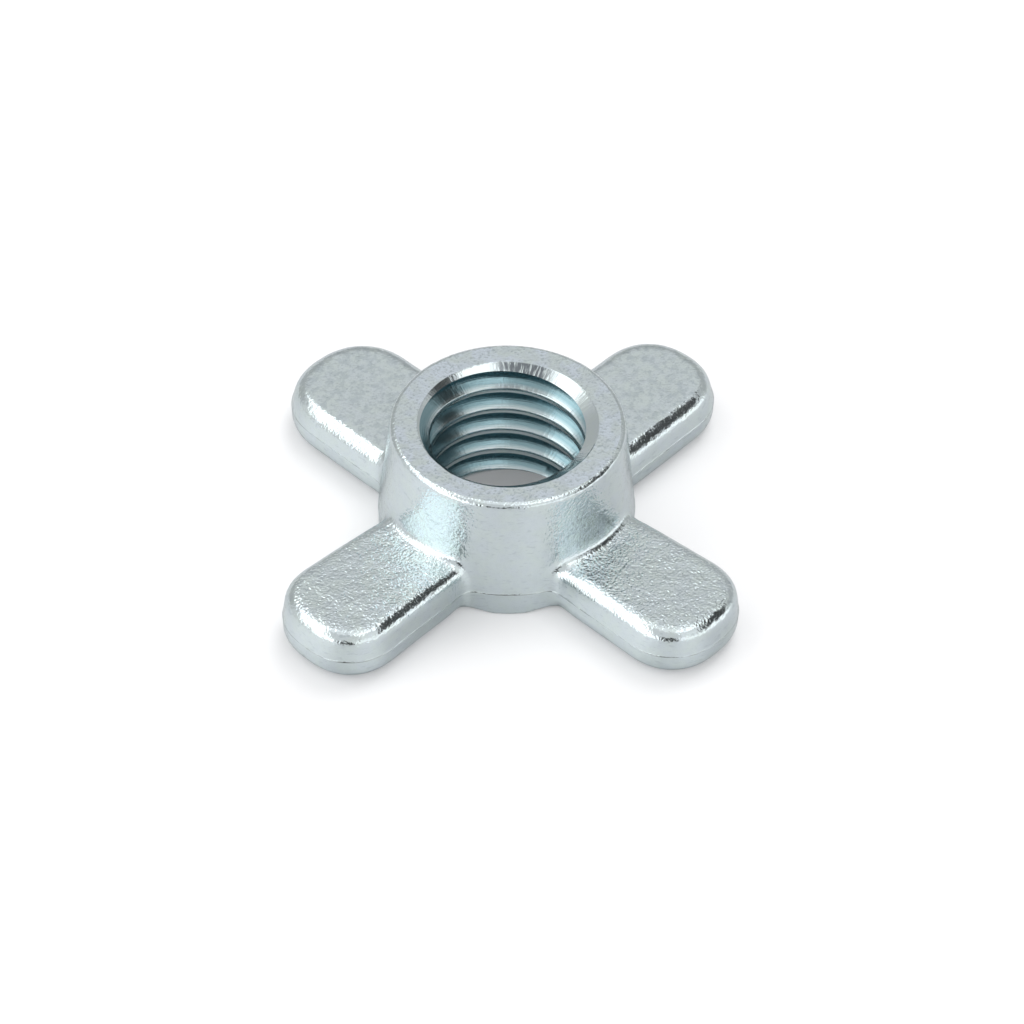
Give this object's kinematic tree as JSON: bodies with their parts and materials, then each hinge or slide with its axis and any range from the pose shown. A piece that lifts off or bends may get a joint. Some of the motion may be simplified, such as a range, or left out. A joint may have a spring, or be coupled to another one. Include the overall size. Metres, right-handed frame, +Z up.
{
  "type": "four-wing tie nut",
  "caption": "Forged nut with a tapered round hub, a countersunk threaded bore and four flat rounded wings for turning by hand.",
  "frame": {"origin": "hub axis at the flat seat, the underside that the nut rests on", "axes": "+Z up along the hub axis from the seat to the machined rim; +X and +Y each along a wing"},
  "size_m": [0.0388, 0.0388, 0.0097],
  "materials": {
    "zinc_plate": "bright bluish zinc plate on forged steel"
  },
  "bodies": {
    "root": {"wing_nut": "zinc_plate"}
  },
  "joints": []
}
